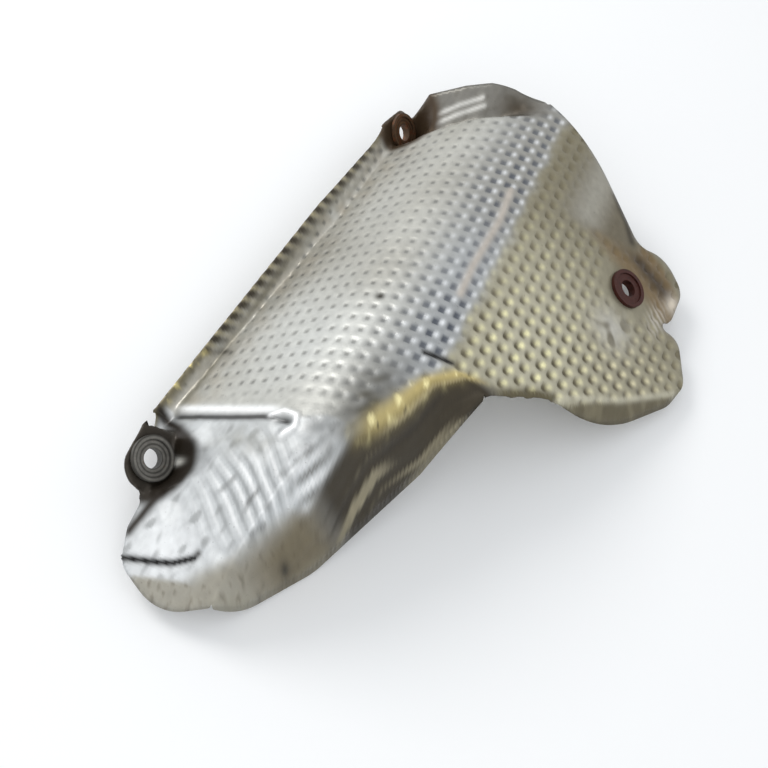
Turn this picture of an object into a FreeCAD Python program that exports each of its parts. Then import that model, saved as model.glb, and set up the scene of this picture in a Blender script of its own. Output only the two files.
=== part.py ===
import FreeCAD, Part
import math
import os

import Sketcher

from FreeCAD import Placement, Rotation, Vector

# A pressed heat shield, lying as it comes to rest with its hollow side down.
# X runs from the nose to the rear, +Y is the left side with the lip, +Z is up.
# The panel is made as the press makes it: the sheet is formed, trimmed along its outline and pierced.
# The formed sheet is what lies between two forms, one under its outer face and one a thickness deeper.

SIZES = {
    # Sheet and its long rounded ridge
    "sheet_thickness": 1.0,
    "crest_height": 47.0,
    "crest_offset": 10.0,
    "crest_fall": 4.7,
    "ridge_radius": 52.0,
    "plateau_slope": 41.5,
    "wall_slope": 25.5,
    "blank_length": 210.0,
    "blank_width": 110.0,
    # Upturned lip on the left
    "lip_root_offset": 71.4,
    "lip_root_skew": 8.3,
    "lip_bend_start": 40.0,
    "lip_bend_radius": 370.0,
    "lip_slope": 40.0,
    "lip_width": 20.0,
    "lip_front": -67.0,
    "lip_end": 90.0,
    # Nose, tapering from the lap fold to the front rim
    "lap_position": -62.0,
    "lap_gap": 0.1,
    "lap_overlap": 5.0,
    "nose_slope": 44.0,
    "nose_length": 65.0,
    "nose_fullness": 1.5,
    "nose_steepness": 44.0,
    # Skirt between the ridge and the front rim
    "skirt_edge_x": -40.0,
    "skirt_edge_y": 6.0,
    "skirt_edge_angle": 30.7,
    "skirt_edge_height": 50.0,
    "skirt_start": -32.0,
    "skirt_length": 132.0,
    "skirt_width": 160.0,
    "skirt_steepness": 2.6,
    "skirt_steepest": 2.42,
    "skirt_twist": 0.068,
    # Trough and upright flange behind the plateau
    "rear_edge_position": 90.0,
    "rear_edge_left": 58.0,
    "rear_edge_right": 9.0,
    "rear_edge_skew": 0.4,
    "trough_depth": 6.0,
    "trough_width": 4.0,
    "trough_runout": 14.0,
    "rear_flange_rise": 9.3,
    "rear_flange_reach": 18.0,
    # Lip bent down along the front of the wing
    "wing_bend_x": -6.5,
    "wing_bend_y": -39.3,
    "wing_bend_heading": -45.8,
    "wing_bend_length": 70.0,
    "wing_lip_slope": 52.0,
    # Ears that carry the bushes
    "front_ear_x": -83.5,
    "front_ear_y": 75.2,
    "front_ear_height": 14.0,
    "front_ear_slope": 40.0,
    "rear_ear_x": 98.5,
    "rear_ear_y": 61.4,
    "rear_ear_height": 10.0,
    "rear_ear_slope": 52.0,
    "side_ear_x": 62.0,
    "side_ear_y": -50.2,
    "ear_radius": 12.0,
    "ear_pocket_reach": 40.0,
    "front_pocket_radius": 11.5,
    "front_pocket_slope": 52.0,
    "rear_pocket_radius": 9.0,
    "rear_pocket_slope": 78.0,
    # Bushes, for M6 bolts
    "bolt_hole_radius": 3.5,
    "bush_sleeve_radius": 5.0,
    "bush_flange_radius": 8.0,
    "bush_flange_thickness": 1.4,
    "bush_groove_radius": 6.4,
    "bush_groove_depth": 0.5,
    "bush_back_radius": 6.6,
    "bush_back_thickness": 1.0,
    "bush_fit": 0.2,
    # Splits in the worn sheet
    "tear_x": -20.8,
    "tear_y": 1.6,
    "tear_heading": 99.0,
    "tear_length": 9.5,
    "tear_width": 1.0,
    "nose_crack_x": -112.0,
    "nose_crack_y": 56.5,
    "nose_crack_heading": 108.5,
    "nose_crack_length": 22.5,
    "nose_crack_width": 0.6,
    # Press and punches
    "press_depth": 200.0,
    "punch_reach": 3.0,
}

# Corners of the trim line seen from above, each with its radius.
# A corner of an ear is measured from the bush in that ear.
OUTLINE = [
    ("skirt_end", "", -21.5, -18.8, 10.0),
    ("nose_right", "", -89.0, 10.2, 40.0),
    ("nose_front_right", "", -115.3, 26.8, 30.0),
    ("nose_front", "", -126.0, 49.5, 20.0),
    ("nose_front_left", "", -117.5, 67.5, 10.0),
    ("nose_left", "", -106.0, 71.5, 5.0),
    ("front_ear_neck", "front_ear", -13.0, -3.5, 3.0),
    ("front_ear_front", "front_ear", -8.8, 5.8, 8.0),
    ("front_ear_rear", "front_ear", 9.5, 7.4, 6.0),
    ("lip_front", "", -66.0, 85.2, 4.0),
    ("lip_middle", "", 30.0, 74.2, 120.0),
    ("lip_rear", "", 84.0, 67.8, 60.0),
    ("rear_ear_front", "rear_ear", -7.0, 7.0, 6.0),
    ("rear_ear_rear", "rear_ear", 7.5, 4.6, 5.0),
    ("flange_left", "", 110.5, 56.5, 6.0),
    ("flange_middle", "", 119.9, 30.0, 40.0),
    ("flange_right", "", 120.5, 10.0, 16.0),
    ("shoulder", "", 108.5, -20.0, 60.0),
    ("shoulder_end", "side_ear", 24.0, 1.2, 8.0),
    ("lug_rear", "side_ear", 30.0, -10.3, 12.0),
    ("lug_side", "side_ear", 21.0, -23.0, 9.0),
    ("lug_front", "side_ear", 2.5, -22.3, 7.0),
    ("notch", "side_ear", -3.5, -15.8, 2.0),
    ("tongue_rear", "", 59.5, -78.3, 6.0),
    ("tongue_side", "", 42.5, -86.5, 9.0),
    ("tongue_front", "", 31.5, -83.5, 14.0),
    ("wing_front", "", 3.5, -62.5, 60.0),
    ("wing_root", "", -6.8, -37.0, 30.0),
]

# Where the sections of each loft stand, as shares of its length.
NOSE_SECTIONS = (0.0, 0.2, 0.4, 0.6, 0.8, 0.98)
REAR_SECTIONS = (0.0, 0.15, 0.3, 0.5, 0.7, 0.85, 1.0, 1.4)
SKIRT_SECTIONS = (0.0, 0.03, 0.06, 0.1, 0.14, 0.18, 0.22, 1.0)


def make_sheet(document):
    """Spreadsheet of the driving dimensions, in millimetres and degrees."""
    sheet = document.addObject("Spreadsheet::Sheet", "sizes")
    for row, (alias, value) in enumerate(SIZES.items(), start=1):
        sheet.set(f"A{row}", alias)
        sheet.set(f"B{row}", str(value))
        sheet.setAlias(f"B{row}", alias)
    document.recompute()
    return sheet


doc = FreeCAD.newDocument("heat_shield")
sizes = make_sheet(doc)


def size(alias):
    return float(sizes.get(alias))


def rise(alias):
    """Rise per unit run of a slope given in degrees."""
    return math.tan(math.radians(size(alias)))


def smooth_step(value):
    value = min(max(value, 0.0), 1.0)
    return value * value * (3 - 2 * value)


def outline_wire():
    """Closed trim line: straight runs joined by tangent arcs."""
    corners = []
    for _, ear, x, y, _ in OUTLINE:
        origin = Vector(size(f"{ear}_x"), size(f"{ear}_y"), 0) if ear else Vector()
        corners.append(origin + Vector(x, y, 0))
    radii = [corner[-1] for corner in OUTLINE]
    starts, middles, ends = [], [], []
    for index, corner in enumerate(corners):
        back = (corners[index - 1] - corner).normalize()
        ahead = (corners[(index + 1) % len(corners)] - corner).normalize()
        half_angle = back.getAngle(ahead) / 2
        reach = radii[index] / math.tan(half_angle)
        bisector = (back + ahead).normalize()
        starts.append(corner + back * reach)
        middles.append(corner + bisector * (radii[index] / math.sin(half_angle) - radii[index]))
        ends.append(corner + ahead * reach)
    edges = []
    for index in range(len(corners)):
        edges.append(Part.Arc(starts[index], middles[index], ends[index]).toShape())
        following = starts[(index + 1) % len(corners)]
        edges.append(Part.makeLine(ends[index], following))
    return Part.Wire(edges)


trim_wire = outline_wire()


def ridge_height(x, y):
    """Plateau, rounded ridge and wall: one section drawn along the falling crest."""
    across = y - size("crest_offset")
    slope = math.radians(size("plateau_slope") if across > 0 else size("wall_slope"))
    radius = size("ridge_radius")
    tangent = radius * math.sin(slope)
    if abs(across) < tangent:
        drop = radius - math.sqrt(radius * radius - across * across)
    else:
        drop = radius * (1 - math.cos(slope)) + (abs(across) - tangent) * math.tan(slope)
    return size("crest_height") - x * rise("crest_fall") - drop / math.cos(math.radians(size("crest_fall")))


def lip_root(x):
    """Y of the crease between the plateau and the upturned lip."""
    bend = max(x - size("lip_bend_start"), 0.0)
    return size("lip_root_offset") - x * rise("lip_root_skew") + bend * bend / (2 * size("lip_bend_radius"))


def press_floor(depth):
    """Flat underside of a form, well below the sheet."""
    return -size("press_depth") / 2 - 2 * depth


def ridge_section(x, depth, slope_alias, lift):
    """Closed wire under plateau, rounded crest and wall, as deep below the outer face as asked."""
    left, right = math.radians(size(slope_alias)), math.radians(size("wall_slope"))
    radius = size("ridge_radius") - depth
    axis_height = size("crest_height") + lift - size("ridge_radius")
    axis = Vector(x, size("crest_offset"), axis_height)

    def on_crest(angle):
        return axis + Vector(0, radius * math.sin(angle), radius * math.cos(angle))

    plateau_top, crest, wall_top = on_crest(left), on_crest((left - right) / 2), on_crest(-right)
    width = size("blank_width")
    plateau_end = plateau_top + Vector(0, width, -width * math.tan(left))
    wall_end = wall_top + Vector(0, -width, -width * math.tan(right))
    floor = press_floor(depth)
    corners = [
        wall_top,
        wall_end,
        Vector(x, wall_end.y, floor),
        Vector(x, plateau_end.y, floor),
        plateau_end,
        plateau_top,
    ]
    edges = [Part.Arc(plateau_top, crest, wall_top).toShape()]
    edges += [Part.makeLine(start, end) for start, end in zip(corners, corners[1:])]
    return Part.Wire(edges)


def ridge(depth):
    """Straight run of the ridge along its falling crest, from the lap fold to the rear."""
    length, start = size("blank_length"), size("lap_position") + depth
    run = Part.Face(ridge_section(-length, depth, "plateau_slope", 0.0)).extrude(Vector(2 * length, 0, 0))
    run.rotate(Vector(0, 0, size("crest_height")), Vector(0, 1, 0), size("crest_fall"))
    front = Part.makeBox(2 * length, 4 * length, 4 * length)
    front.translate(Vector(start - 2 * length, -2 * length, -2 * length))
    return run.cut(front)


def ruled_solid(sections):
    """Solid through closed polygons, straight from each to the next."""
    wires = [Part.makePolygon(corners + corners[:1]) for corners in sections]
    return Part.makeLoft(wires, True, True)


def lip(depth):
    """Upturned lip along the left edge of the plateau."""
    width, climb = size("lip_width"), rise("lip_slope")
    drop = depth / math.cos(math.radians(size("lip_slope")))
    sections = []
    for x in (size("lip_front") + depth, size("lip_bend_start"), size("lip_end")):
        root = lip_root(x)
        height = ridge_height(x, root) - drop
        sections.append([
            Vector(x, root - width, height - width * climb),
            Vector(x, root + width, height + width * climb),
            Vector(x, root + width, -width - 2 * depth),
            Vector(x, root - width, -width - 2 * depth),
        ])
    return ruled_solid(sections)


def nose(depth):
    """Nose in front of the lap fold: the ridge's section, squashed more and more towards the rim."""
    drop = depth / math.cos(math.radians(size("nose_steepness")))
    wires = []
    for share in NOSE_SECTIONS:
        x = size("lap_position") - share * size("nose_length")
        squash = FreeCAD.Matrix()
        squash.A33 = 1 - share ** size("nose_fullness")
        squash.A34 = -drop
        section = ridge_section(x, size("lap_gap"), "nose_slope", -x * rise("crest_fall"))
        wires.append(section.transformGeometry(squash))
    collar = Part.Face(wires[0]).extrude(Vector(size("lap_overlap"), 0, 0))
    return Part.makeLoft(wires, True, False).fuse(collar)


def rear_edge(y):
    """X of the plateau's rear edge."""
    return size("rear_edge_position") + (size("rear_edge_left") - y) * size("rear_edge_skew")


def rear_space():
    """Everything behind the plateau's rear edge, left of the shoulder."""
    right, left = size("rear_edge_right"), size("rear_edge_left")
    far_left, far_back = left + size("blank_width"), size("rear_edge_position") + size("blank_width")
    corners = [
        Vector(rear_edge(right), right, 0),
        Vector(rear_edge(left), left, 0),
        Vector(rear_edge(left), far_left, 0),
        Vector(far_back, far_left, 0),
        Vector(far_back, right, 0),
    ]
    plan = Part.Face(Part.makePolygon(corners + corners[:1]))
    plan.translate(Vector(0, 0, -size("press_depth")))
    return plan.extrude(Vector(0, 0, 2 * size("press_depth")))


def rear(depth):
    """Trough behind the plateau's rear edge and the flange that rises from it."""
    right, left = size("rear_edge_right"), size("rear_edge_left")
    drop = depth / math.cos(math.radians(size("plateau_slope")))
    sections = []
    for share in REAR_SECTIONS:
        y = right + (left - right) * share
        edge = rear_edge(min(y, left))
        fade = smooth_step((y - right) / size("trough_runout"))
        bottom_x = edge + size("trough_width")
        top_x = edge + size("rear_flange_reach")
        edge_height = ridge_height(edge, y) - drop
        bottom = ridge_height(bottom_x, y) - drop - size("trough_depth") * fade
        top = ridge_height(top_x, y) - drop + size("rear_flange_rise") * share * fade
        sections.append([
            Vector(edge, y, edge_height),
            Vector(bottom_x, y, bottom),
            Vector(top_x, y, top),
            Vector(2 * top_x - bottom_x, y, 2 * top - bottom),
            Vector(2 * top_x - bottom_x, y, press_floor(depth)),
            Vector(edge, y, press_floor(depth)),
        ])
    return ruled_solid(sections)


def skirt_space(depth):
    """Everything outside the steep twisted wall below the slanting edge on the ridge."""
    angle = math.radians(size("skirt_edge_angle"))
    outward = Vector(-math.sin(angle), -math.cos(angle), 0)
    along = Vector(-math.cos(angle), math.sin(angle), 0)
    sections = []
    for share in SKIRT_SECTIONS:
        place = size("skirt_start") + size("skirt_length") * share
        steepness = min(size("skirt_steepness") + place * size("skirt_twist"), size("skirt_steepest"))
        edge = Vector(size("skirt_edge_x"), size("skirt_edge_y"), size("skirt_edge_height")) + along * place
        edge -= outward * (depth * math.hypot(1, steepness) / steepness)
        fall = Vector(outward.x, outward.y, -steepness) * size("skirt_width")
        low, high = edge + fall, edge - fall
        far = outward * size("blank_length")
        sections.append([low, high, high + far, low + far])
    return ruled_solid(sections)


def wing_lip_space(depth):
    """Everything outside the lip that is bent down along the front of the wing."""
    heading = math.radians(size("wing_bend_heading"))
    along = Vector(math.cos(heading), math.sin(heading), 0)
    outward = Vector(along.y, -along.x, 0)
    steepness = rise("wing_lip_slope")
    inset = outward * (depth * math.hypot(1, steepness) / steepness)
    fall = Vector(outward.x, outward.y, -steepness) * size("lip_width")
    lift = Vector(0, 0, size("crest_height"))
    sections = []
    for place in (0.0, size("wing_bend_length")):
        x = size("wing_bend_x") + along.x * place
        y = size("wing_bend_y") + along.y * place
        bend = Vector(x, y, ridge_height(x, y)) - inset
        sections.append([bend, bend + fall, bend + fall + lift * 2, bend + lift])
    return ruled_solid(sections)


def ears():
    """Centre and slope of each ear; the side ear lies in the wall itself."""
    found = {}
    for name in ("front", "rear"):
        found[name] = {
            "x": size(f"{name}_ear_x"),
            "y": size(f"{name}_ear_y"),
            "height": size(f"{name}_ear_height"),
            "slope": math.radians(size(f"{name}_ear_slope")),
            "pitch": 0.0,
            "pocket_radius": size(f"{name}_pocket_radius"),
            "pocket_slope": math.radians(size(f"{name}_pocket_slope")),
        }
    side_x, side_y = size("side_ear_x"), size("side_ear_y")
    found["side"] = {
        "x": side_x,
        "y": side_y,
        "height": ridge_height(side_x, side_y),
        "slope": math.atan(rise("wall_slope") / math.cos(math.radians(size("crest_fall")))),
        "pitch": -rise("crest_fall"),
    }
    return found


EARS = ears()


def seat_placement(ear):
    """Placement on an ear's seat, with +Z along the bolt, away from the sheet."""
    normal = Vector(-ear["pitch"], -math.tan(ear["slope"]), 1.0)
    return Placement(Vector(ear["x"], ear["y"], ear["height"]), Rotation(Vector(0, 0, 1), normal))


def seated(body, ear, depth):
    """Body with a pocket sunk to an ear's flat seat, and the seat carried out beyond the body."""
    seat = seat_placement(ear).multiply(Placement(Vector(0, 0, -depth), Rotation()))
    reach = size("ear_pocket_reach")
    above = Part.makeBox(4 * reach, 4 * reach, 2 * reach, Vector(-2 * reach, -2 * reach, 0))
    below = Part.makeBox(4 * reach, 4 * reach, 2 * reach, Vector(-2 * reach, -2 * reach, -2 * reach))
    above.Placement = seat
    below.Placement = seat
    radius = ear["pocket_radius"] + depth / math.sin(ear["pocket_slope"])
    flare = 1 / math.tan(ear["pocket_slope"])
    tip_depth = radius / flare
    tip = Vector(ear["x"], ear["y"], ear["height"] - tip_depth)
    pocket = Part.makeCone(0, radius + reach * flare, reach + tip_depth, tip)
    foot = Vector(ear["x"], ear["y"], ear["height"] - reach - 2 * depth)
    column = Part.makeCylinder(size("ear_radius") - depth, 2 * reach, foot)
    return body.cut(pocket.common(above)).fuse(column.common(below))


def form(depth):
    """Solid under the outer face of the pressed sheet, or under a face that much deeper."""
    body = ridge(depth).fuse(lip(depth))
    body = body.cut(rear_space()).fuse(rear(depth)).fuse(nose(depth))
    body = body.cut(skirt_space(depth)).cut(wing_lip_space(depth))
    for ear_name in ("front", "rear"):
        body = seated(body, EARS[ear_name], depth)
    return body


def revolved_body(name, profile):
    """Body turned about its own Z axis; each corner is a pair of expressions (radius, height)."""
    body = doc.addObject("PartDesign::Body", name)
    plane = next(item for item in body.Origin.OriginFeatures if item.Role == "XZ_Plane")
    sketch = body.newObject("Sketcher::SketchObject", f"{name}_profile")
    sketch.AttachmentSupport = [(plane, "")]
    sketch.MapMode = "FlatFace"
    corners = [Vector(3 + index % 3, index, 0) for index in range(len(profile))]
    for index, corner in enumerate(corners):
        sketch.addGeometry(Part.LineSegment(corner, corners[(index + 1) % len(corners)]), False)
    count = len(profile)
    for index in range(count):
        sketch.addConstraint(Sketcher.Constraint("Coincident", index, 2, (index + 1) % count, 1))
    for index, (radius, height) in enumerate(profile):
        for kind, expression in (("DistanceX", radius), ("DistanceY", height)):
            at = sketch.addConstraint(Sketcher.Constraint(kind, -1, 1, index, 1, 1.0))
            sketch.setExpression(f"Constraints[{at}]", expression)
    doc.recompute()
    turned = body.newObject("PartDesign::Revolution", f"{name}_turned")
    turned.Profile = sketch
    turned.ReferenceAxis = (sketch, ["V_Axis"])
    turned.Angle = 360
    doc.recompute()
    return body


BUSH_PROFILE = [
    ("sizes.bolt_hole_radius", "-sizes.sheet_thickness - sizes.bush_fit - sizes.bush_back_thickness"),
    ("sizes.bush_back_radius", "-sizes.sheet_thickness - sizes.bush_fit - sizes.bush_back_thickness"),
    ("sizes.bush_back_radius", "-sizes.sheet_thickness - sizes.bush_fit"),
    ("sizes.bush_sleeve_radius", "-sizes.sheet_thickness - sizes.bush_fit"),
    ("sizes.bush_sleeve_radius", "sizes.bush_fit"),
    ("sizes.bush_flange_radius", "sizes.bush_fit"),
    ("sizes.bush_flange_radius", "sizes.bush_fit + sizes.bush_flange_thickness"),
    ("sizes.bush_groove_radius", "sizes.bush_fit + sizes.bush_flange_thickness"),
    ("sizes.bush_groove_radius", "sizes.bush_fit + sizes.bush_flange_thickness - sizes.bush_groove_depth"),
    ("sizes.bolt_hole_radius", "sizes.bush_fit + sizes.bush_flange_thickness - sizes.bush_groove_depth"),
]

outer_form = doc.addObject("Part::Feature", "outer_form")
outer_form.Shape = form(0.0)

inner_form = doc.addObject("Part::Feature", "inner_form")
inner_form.Shape = form(size("sheet_thickness"))

formed_sheet = doc.addObject("Part::Cut", "formed_sheet")
formed_sheet.Base = outer_form
formed_sheet.Tool = inner_form

trim_line = doc.addObject("Part::Feature", "trim_line")
trim_line.Shape = trim_wire

trim_die = doc.addObject("Part::Extrusion", "trim_die")
trim_die.Base = trim_line
trim_die.DirMode = "Custom"
trim_die.Dir = Vector(0, 0, 1)
trim_die.Solid = True
trim_die.Symmetric = True
trim_die.setExpression("LengthFwd", "sizes.press_depth")

trimmed = doc.addObject("Part::MultiCommon", "trimmed_sheet")
trimmed.Shapes = [formed_sheet, trim_die]

piercings = []
for ear_name, ear in EARS.items():
    punch = doc.addObject("Part::Cylinder", f"{ear_name}_punch")
    punch.setExpression("Radius", "sizes.bush_sleeve_radius + sizes.bush_fit")
    punch.setExpression("Height", "2 * sizes.punch_reach")
    seat = seat_placement(ear)
    depth = -size("punch_reach")
    punch.Placement = seat.multiply(Placement(Vector(0, 0, depth), Rotation()))
    piercings.append(punch)

for split_name in ("tear", "nose_crack"):
    split = doc.addObject("Part::Box", split_name)
    split.setExpression("Length", f"sizes.{split_name}_length")
    split.setExpression("Width", f"sizes.{split_name}_width")
    split.setExpression("Height", "sizes.press_depth")
    middle = Vector(size(f"{split_name}_x"), size(f"{split_name}_y"), 0)
    half = Vector(size(f"{split_name}_length") / 2, size(f"{split_name}_width") / 2, 0)
    turn = Rotation(Vector(0, 0, 1), size(f"{split_name}_heading"))
    split.Placement = Placement(middle - turn.multVec(half), turn)
    piercings.append(split)

punches = doc.addObject("Part::MultiFuse", "punches")
punches.Shapes = piercings

panel = doc.addObject("Part::Cut", "shield_panel")
panel.Base = trimmed
panel.Tool = punches
doc.recompute()

parts = [panel]
for ear_name, ear in EARS.items():
    bush = revolved_body(f"{ear_name}_bush", BUSH_PROFILE)
    bush.Placement = seat_placement(ear)
    parts.append(bush)
doc.recompute()

# The whole part is set down with the bottom centre of its box at the origin.
box = FreeCAD.BoundBox()
for point in panel.Shape.tessellate(size("sheet_thickness") / 20)[0]:
    box.add(point)
set_down = Placement(Vector(-box.Center.x, -box.Center.y, -box.ZMin), Rotation())
for part in parts:
    part.Placement = set_down.multiply(part.Placement)
doc.recompute()

for item in doc.Objects:
    if "Invalid" in item.State or "Error" in item.State:
        raise RuntimeError(f"{item.Name} failed: {item.State}")
for part in parts:
    part.Label = part.Name
    if part.Shape.isNull() or not part.Shape.isValid():
        raise RuntimeError(f"{part.Label} has no valid shape")

os.makedirs("parts", exist_ok=True)
for part in parts:
    part.Shape.exportStep(f"parts/{part.Label}.step")
    print(part.Label, "solids", len(part.Shape.Solids), "volume", round(part.Shape.Volume, 1))
print("set down by", set_down.Base)
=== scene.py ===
import math
from types import SimpleNamespace

import bpy
import numpy as np
from mathutils import Matrix, Vector
from mathutils.bvhtree import BVHTree
from mathutils.kdtree import KDTree


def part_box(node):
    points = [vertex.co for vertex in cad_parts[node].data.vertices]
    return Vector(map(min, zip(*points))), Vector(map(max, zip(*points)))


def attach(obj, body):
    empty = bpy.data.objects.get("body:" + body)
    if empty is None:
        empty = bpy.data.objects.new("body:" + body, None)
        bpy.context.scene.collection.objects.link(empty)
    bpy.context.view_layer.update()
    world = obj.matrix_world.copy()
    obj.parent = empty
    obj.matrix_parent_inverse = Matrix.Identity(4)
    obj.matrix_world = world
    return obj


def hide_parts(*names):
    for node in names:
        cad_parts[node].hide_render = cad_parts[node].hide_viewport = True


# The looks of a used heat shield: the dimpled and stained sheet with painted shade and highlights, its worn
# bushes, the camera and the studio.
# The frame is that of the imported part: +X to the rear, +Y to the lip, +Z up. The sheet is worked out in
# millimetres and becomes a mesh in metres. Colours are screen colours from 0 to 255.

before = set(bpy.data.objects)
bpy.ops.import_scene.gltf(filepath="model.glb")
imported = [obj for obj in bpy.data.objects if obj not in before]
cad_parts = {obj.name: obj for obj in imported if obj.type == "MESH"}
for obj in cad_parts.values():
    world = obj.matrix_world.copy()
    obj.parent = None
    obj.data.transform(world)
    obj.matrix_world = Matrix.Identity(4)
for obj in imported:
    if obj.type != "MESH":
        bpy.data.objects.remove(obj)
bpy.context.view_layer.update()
MM = 0.001

# Section of the sheet across its ridge, in millimetres and radians
CREST_Y = 10.4
RIDGE_RADIUS = 52.0
PLATEAU_SLOPE = math.radians(41.5)
WALL_SLOPE = math.radians(25.5)
ARC_FROM, ARC_TO = -118.0, 112.0

# Dimple grids of the ridge and of the wing: cells per mm along, skew, start, cells per mm around, start
RIDGE_CELLS = (0.1756, 0.019, 0.897, 0.1812, 0.627)
WING_CELLS = (0.1668, -0.010, 1.197, 0.1828, 0.094)
DIMPLE_DEPTH = 0.6

# Mesh of the sheet, in millimetres
GRID_STEP = 0.8
SHEET_THICKNESS = 0.9
RIM_STEP = 0.3  # between the points along the trimmed edges
RIM_REACH = 2.2  # within which a border point of the grid moves to the trimmed edge
SLIT_REACH = 2.0  # within which the grid bridges the crack and the tear
HEIGHT_SHARE = 0.3  # of a height in the search for the nearest edge, because steep walls spread the grid
FACET_BLUR, LAP_BLUR, FILL_STEPS = 3, 40, 60  # passes over the grid
RAY_TOP = 200.0  # above the whole part
FACES_UP, FACES_DOWN, UPRIGHT = 0.01, -0.12, 0.02  # height of a face's unit normal
SHARP_EDGE = 0.75  # cosine of the turn between two faces

# Borders between the zones of the sheet, in millimetres of the plan
LAP_X = -60.26
REAR_EDGE_X, REAR_EDGE_LEFT, REAR_EDGE_SKEW = 91.74, 58.4, 0.4
FOLD_X = (-122, -110.3, -102.3, -95, -83.3, -79, -70, -57.2, -41.6, -29.1, -20.5, -17)
FOLD_Y = (50, 41, 31, 26.7, 21.9, 18.5, 17.5, 15, 6.8, 1.5, -6.5, -14)
LIP_X, LIP_Y, LIP_SKEW = -16.3, 77.7, -0.1066
BEND_X, BEND_Y, BEND_NORMAL = -4.8, -38.9, (0.717, 0.697)
FRONT_Y = (40, 52, 57, 68)
FRONT_X = (-112.0, -114.5, -115.6, -118.5)

# Lines of single marks in the plan, in millimetres
CRACK = ((-113.6, 68.0), (-111.5, 57.5), (-110.0, 51.5), (-106.9, 45.5))
TEAR = ((-19.9, 6.8), (-19.2, 2.4), (-18.2, -2.8))
CURL = ((-61.0, 42.0), (-58.8, 38.7), (-59.6, 34.2), (-63.6, 32.8), (-67.6, 35.0))
POCKET = ((-62.6, 83.9), (-66.6, 74.1), (-74.2, 65.4), (-83.8, 64.2), (-92.5, 67.5), (-105.5, 70.6))
CREASE = ((66.0, 6.4), (49.6, 4.9), (23.4, 5.9), (9.0, 5.2))
WING_BEND = ((-5.2, -38.7), (1.9, -44.4), (17.3, -63.1), (37.5, -82.5))
WING_RIM = ((-20.9, -15.9), (-17.8, -20.6), (-13.9, -25.2), (-10.3, -29.3), (-6.7, -33.5), (-4.2, -38.3))
ROLLED_EDGE = ((101.0, -31.0), (93.6, -39.4), (86.5, -44.8))
# Pale streaks of painted highlight on the rear flange
REAR_HIGHLIGHT_STREAKS = (
    ((103.0, 50.0), (112.0, 33.0)),
    ((106.5, 50.0), (114.5, 35.0)),
    ((101.0, 41.0), (106.0, 29.0)),
)
SCRATCHES = (((-88.2, 35.9), (-84.3, 34.5)), ((-95.4, 30.6), (-91.0, 28.0)))
LIP_FOLD = ((-60.0, 78.4), (81.5, 68.3))

# Places of single marks in the plan, in millimetres
CRINKLE = (42, -50)
CURL_PIT, CURL_SHADOW = (-62.0, 37.0), (-62.0, 37.2)
NOSE_DENT = (-105.4, 44.8)
WALL_SPECK, PLATEAU_SPECK, LIP_SPECK = (-94, 18.7), (-3.6, 29.9), (-31, 75.5)
RIDGE_FOOT = (-46, 15)
BUSH_GLINT = (-77.5, 68.6)

# Colours of each zone of the sheet, in the order in which they go on
PLATEAU = SimpleNamespace(
    bare=(190, 190, 184), cloud=(164, 162, 153), dust=(170, 162, 146), sheen=(202, 204, 201),
    pit_shade=(108, 108, 104), ridge=(154, 158, 162), ridge_rear=(140, 137, 128), ridge_pit_shade=(80, 85, 94),
    ridge_glint=(236, 239, 242),
)
WING = SimpleNamespace(
    olive=(150, 145, 124), rear=(124, 118, 98), reflection=(182, 178, 158), pit_shade=(116, 108, 84),
    shadow=(62, 54, 37), glint=(255, 250, 196), far_shadow=(62, 54, 38), far_glint=(236, 228, 190),
    crinkle=(190, 188, 180), crinkle_dirt=(98, 92, 76), lip=(96, 89, 68), lip_worn=(122, 115, 92),
    bend=(196, 192, 172), rim=(92, 85, 62), shoulder=(104, 97, 80), shoulder_top=(150, 147, 136),
    rolled_edge=(52, 46, 34),
)
SIDE_EAR = SimpleNamespace(
    brown=(116, 98, 68), turned_down_shade=(64, 52, 36), corner=(206, 196, 180), fine_stripes=(206, 200, 190),
)
NOSE = SimpleNamespace(
    metal=(198, 201, 202), front=(236, 238, 239), ripple_shade=(142, 145, 146), ripple_highlight=(250, 251, 251),
    crinkle=(148, 150, 150), patches=(238, 240, 240), dull=(152, 152, 146),
    light_streak=(244, 245, 245), dark_streak=(112, 110, 106),
)
LOW_SIDE = SimpleNamespace(
    lap_end=(126, 128, 128), ridge_foot=(84, 82, 74), wall=(158, 154, 142), wall_rear=(112, 103, 82),
    wall_foot=(150, 146, 130), wall_dirt=(84, 76, 60), skirt=(54, 47, 33), light_streak=(146, 138, 114),
    dark_streak=(44, 38, 28), fold=(196, 178, 116), fold_glint=(250, 238, 178), fold_dirt=(26, 22, 14),
)
LIP = SimpleNamespace(
    fold=(132, 128, 114), olive=(112, 105, 82), worn=(150, 143, 116), glint=(226, 212, 150),
    tooth=(46, 39, 28), gap=(176, 166, 136),
)
REAR = SimpleNamespace(
    metal=(122, 120, 114), dirt=(104, 101, 93), step=(92, 88, 78), streak=(226, 225, 220),
    end=(66, 58, 46),
)
LEFT_EARS = SimpleNamespace(
    front=(46, 40, 32), rear=(70, 56, 40), front_edge=(112, 104, 80), pocket_shade=(36, 29, 21),
    glint=(240, 238, 230),
)
MARKS = SimpleNamespace(
    crease=(186, 178, 168), lap_edge_highlight=(246, 247, 247), lap_shadow=(24, 22, 19), curl_highlight=(244, 245, 245),
    curl_shadow=(26, 24, 21), nose_speck=(40, 36, 28), scratch=(104, 104, 102),
    plateau_speck=(44, 40, 30), slit_shade=(6, 5, 4),
)

# Bushes: node, bolt axis, material, dark and light metal, rust and its share
BUSHES = (
    ("front_bush", (0, 0.643, -0.766), "dark_steel", (62, 60, 56), (150, 147, 140), (76, 60, 46), 0.25),
    ("rear_bush", (0, 0.788, -0.616), "brown_steel", (84, 62, 44), (136, 110, 84), (110, 70, 44), 0.6),
    ("side_bush", (-0.074, 0.431, -0.900), "rusted_steel", (48, 18, 13), (74, 34, 25), (62, 24, 16), 0.9),
)
RING_PITCH = 1.5  # of the turned rings, in millimetres

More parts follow.
